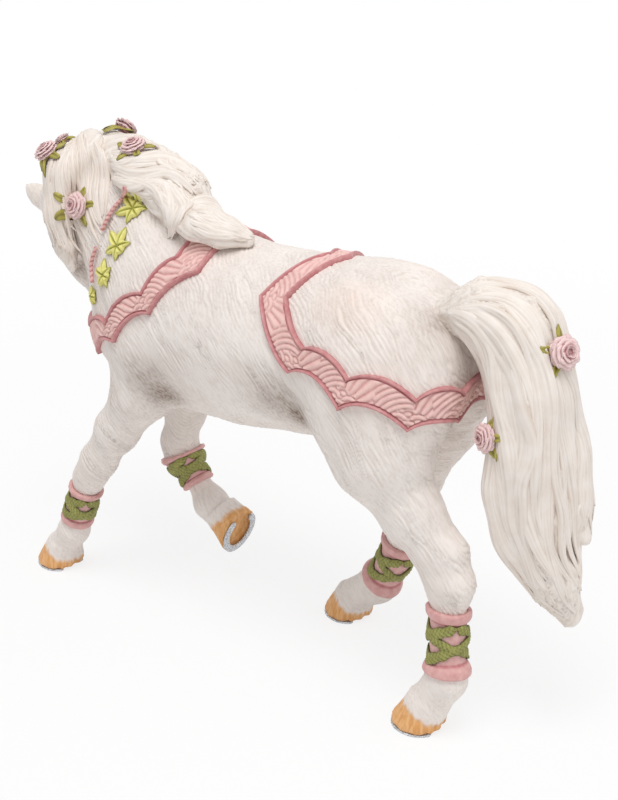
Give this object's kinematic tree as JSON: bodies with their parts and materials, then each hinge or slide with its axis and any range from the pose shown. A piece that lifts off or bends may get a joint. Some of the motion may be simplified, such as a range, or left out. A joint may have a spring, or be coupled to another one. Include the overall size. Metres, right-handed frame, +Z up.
{
  "type": "toy horse figure",
  "caption": "White toy pony figure with a lifted forefoot and turned head, scalloped pink breast collar and crupper band, roses and ivy in the mane, vine-wrapped leg cuffs and a long tail",
  "frame": {"origin": "middle of the bounding box's underside, on the floor the feet stand on", "axes": "+X forward, the way the body faces; +Y to the horse's left; +Z up"},
  "size_m": [0.1374, 0.0398, 0.1021],
  "materials": {
    "coat": "matte painted",
    "hair": "matte painted",
    "pink": "satin painted",
    "rose": "satin painted",
    "leaf": "satin painted",
    "vine": "satin painted",
    "horn": "satin painted",
    "silver": "silver glitter paint"
  },
  "bodies": {
    "root": {"torso": "coat", "head": "coat", "leg_lh": "coat", "hoof_lh": "horn", "shoe_lh": "silver", "wrap_lh": "pink", "vine_lh": "vine", "leg_rh": "coat", "hoof_rh": "horn", "shoe_rh": "silver", "wrap_rh": "pink", "vine_rh": "vine", "leg_lf": "coat", "hoof_lf": "horn", "shoe_lf": "silver", "wrap_lf": "pink", "vine_lf": "vine", "leg_rf": "coat", "hoof_rf": "horn", "shoe_rf": "silver", "wrap_rf": "pink", "vine_rf": "vine", "breast_collar": "pink", "crupper_band": "pink", "mane_crest": "hair", "mane_withers_lock": "hair", "mane_left_fall": "hair", "mane_right_fall": "hair", "forelock": "hair", "tail_main": "hair", "tail_lock_outer": "hair", "tail_lock_inner": "hair", "rose_1": "rose", "sepals_1": "leaf", "rose_2": "rose", "sepals_2": "leaf", "rose_3": "rose", "sepals_3": "leaf", "rose_4": "rose", "sepals_4": "leaf", "rose_5": "rose", "sepals_5": "leaf", "rose_6": "rose", "sepals_6": "leaf", "rose_7": "rose", "sepals_7": "leaf", "leaf_1": "leaf", "leaf_2": "leaf", "leaf_3": "leaf", "leaf_4": "leaf", "cord_upper": "pink", "cord_lower": "pink"}
  },
  "joints": []
}
